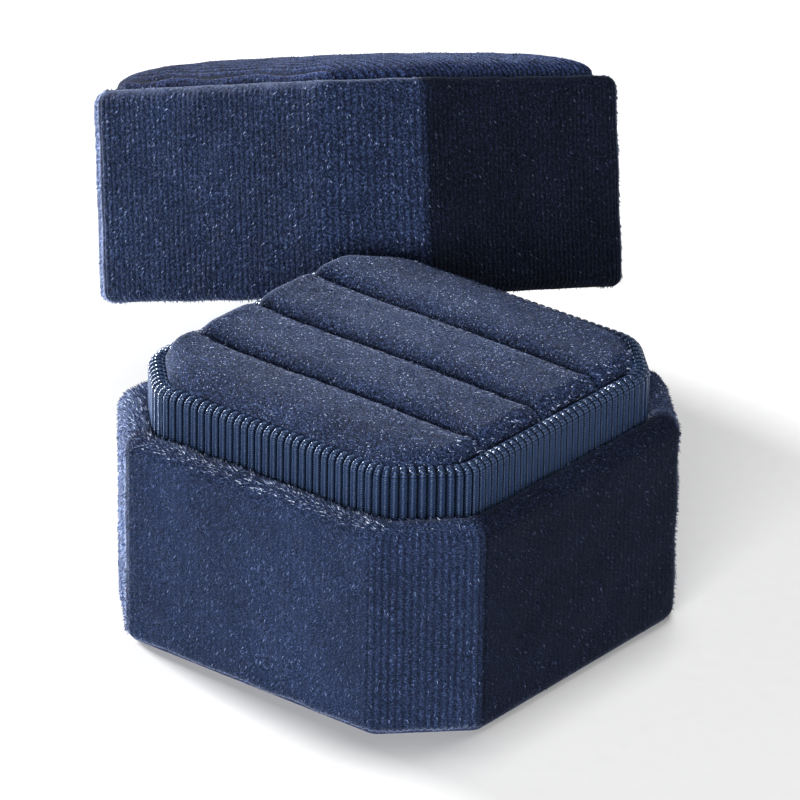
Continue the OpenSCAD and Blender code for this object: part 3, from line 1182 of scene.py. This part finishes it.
def dress_frame(board: bpy.types.Material, foam: bpy.types.Material, lining: bpy.types.Material) -> None:
    """Gives the boards, the foam block, the lining and the foot cover their finishes.

    Args:
        board: Finish of the boards.
        foam: Finish of the foam block.
        lining: Finish of the short-napped cloth.
    """
    finishes = {
        "base_floor_board": board, "base_wall_board": board, "collar_board": board, "insert_card": board,
        "lid_wall_board": board, "lid_top_board": board, "insert_riser": foam,
        "lid_wall_lining": lining, "lid_top_lining": lining, "base_foot_cover": lining,
    }
    for name, material in finishes.items():
        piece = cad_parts[name]
        piece.data.materials.clear()
        piece.data.materials.append(material)
        LOG.info("%s: %s", name, material.name)


@dataclass
class Studio:
    """Pale floor, soft lights and the camera."""

    azimuth: float = 38.4
    elevation: float = 25.7
    roll: float = 0.9
    distance: float = 700.0
    lens: float = 294.4
    light_distance: float = 0.9
    aim: tuple[float, float, float] = (-2.55, 3.5, 22.45)

    def heading(self, azimuth: float, elevation: float) -> Vector:
        """Returns the direction from the box towards a place round it."""
        a, e = math.radians(azimuth), math.radians(elevation)
        return Vector((math.sin(a) * math.cos(e), -math.cos(a) * math.cos(e), math.sin(e)))

    def place_camera(self) -> None:
        """Sets up the camera."""
        data = bpy.data.cameras.new("camera")
        data.lens, data.sensor_width, data.clip_start, data.clip_end = self.lens, 36.0, 0.01, 50.0
        camera = bpy.data.objects.new("camera", data)
        bpy.context.collection.objects.link(camera)
        back = self.heading(self.azimuth, self.elevation)
        camera.location = (Vector(self.aim) + back * self.distance) * MM
        facing = back.to_track_quat("Z", "Y")
        camera.rotation_mode = "QUATERNION"
        camera.rotation_quaternion = facing @ Quaternion((0, 0, 1), math.radians(self.roll))
        bpy.context.scene.camera = camera

    def add_light(self, name: str, azimuth: float, elevation: float, size: tuple[float, float], power: float) -> None:
        """Adds one soft light that faces the box.

        Args:
            name: Name of the light.
            azimuth: Compass angle round the box in degrees, 0 in front.
            elevation: Angle above the table.
            size: Width and height of the light in metres.
            power: Power in watts.
        """
        data = bpy.data.lights.new(name, "AREA")
        data.shape = "RECTANGLE"
        data.size, data.size_y, data.energy = *size, power
        light = bpy.data.objects.new(name, data)
        bpy.context.collection.objects.link(light)
        toward = self.heading(azimuth, elevation)
        light.location = toward * self.light_distance + Vector((0, 0, 0.02))
        light.rotation_euler = toward.to_track_quat("Z", "Y").to_euler()

    def build(self) -> None:
        """Makes the floor, the lights and the world."""
        side = 3.0
        mesh = bpy.data.meshes.new("floor")
        mesh.from_pydata([(-side, -side, 0), (side, -side, 0), (side, side, 0), (-side, side, 0)], [], [(0, 1, 2, 3)])
        paper = GrainedFinish("matt_paper_floor", "#f2f2f2", "#f4f4f4", 2.0, 0.8, depth=0.005)
        floor = new_object("floor", mesh, paper.material())
        self.add_light("front_key", 27, 13, (0.6, 0.35), 12.5)
        self.add_light("overhead", -170, 74, (0.35, 0.35), 4.8)
        self.add_light("left_rim", -97, 14, (0.22, 0.22), 20.0)
        world = bpy.data.worlds.new("studio")
        bpy.context.scene.world = world
        world.use_nodes = True
        world.node_tree.nodes["Background"].inputs["Color"].default_value = (1, 1, 1, 1)
        world.node_tree.nodes["Background"].inputs["Strength"].default_value = 0.06
        bpy.context.scene.view_settings.view_transform = "Standard"
        self.place_camera()


def main() -> None:
    """Builds the box, its finishes and the studio."""
    logging.basicConfig(level=logging.INFO, format="%(name)s %(message)s")
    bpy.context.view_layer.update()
    plan = Plan()
    board = GrainedFinish("pressed_greyboard", "#77756f", "#96948c", 0.6, 0.9).material()
    foam = GrainedFinish("open_cell_foam", "#c9c5ba", "#e6e3da", 0.5, 0.95, depth=0.12).material()
    lining = GrainedFinish("short_nap_lining", "#0f1730", "#25335a", 0.25, 0.9, depth=0.08, sheen=0.1).material()
    base_velvet = VelvetFinish("base", tip_fair="#4c5e88", tip_lit="#7485ad", stretch=(1.0, 1.0, 2.8))
    dress_frame(board, foam, lining)
    Base(plan, base_velvet).build()
    Collar(plan, GrosgrainFinish()).build()
    Insert(plan, VelvetFinish("insert", tip="#2b3858", tip_fair="#4d5f8b", tip_lit="#c2d0ee", sheen=0.55), foam).build()
    Lid(plan, VelvetFinish("lid"), VelvetFinish("dome", valley="#050810", ground="#202b48", tip="#2b3860", tip_fair="#46557f", tip_lit="#7484aa", sheen=0.3), foam).build()
    Studio().build()


if __name__ == "__main__":
    main()
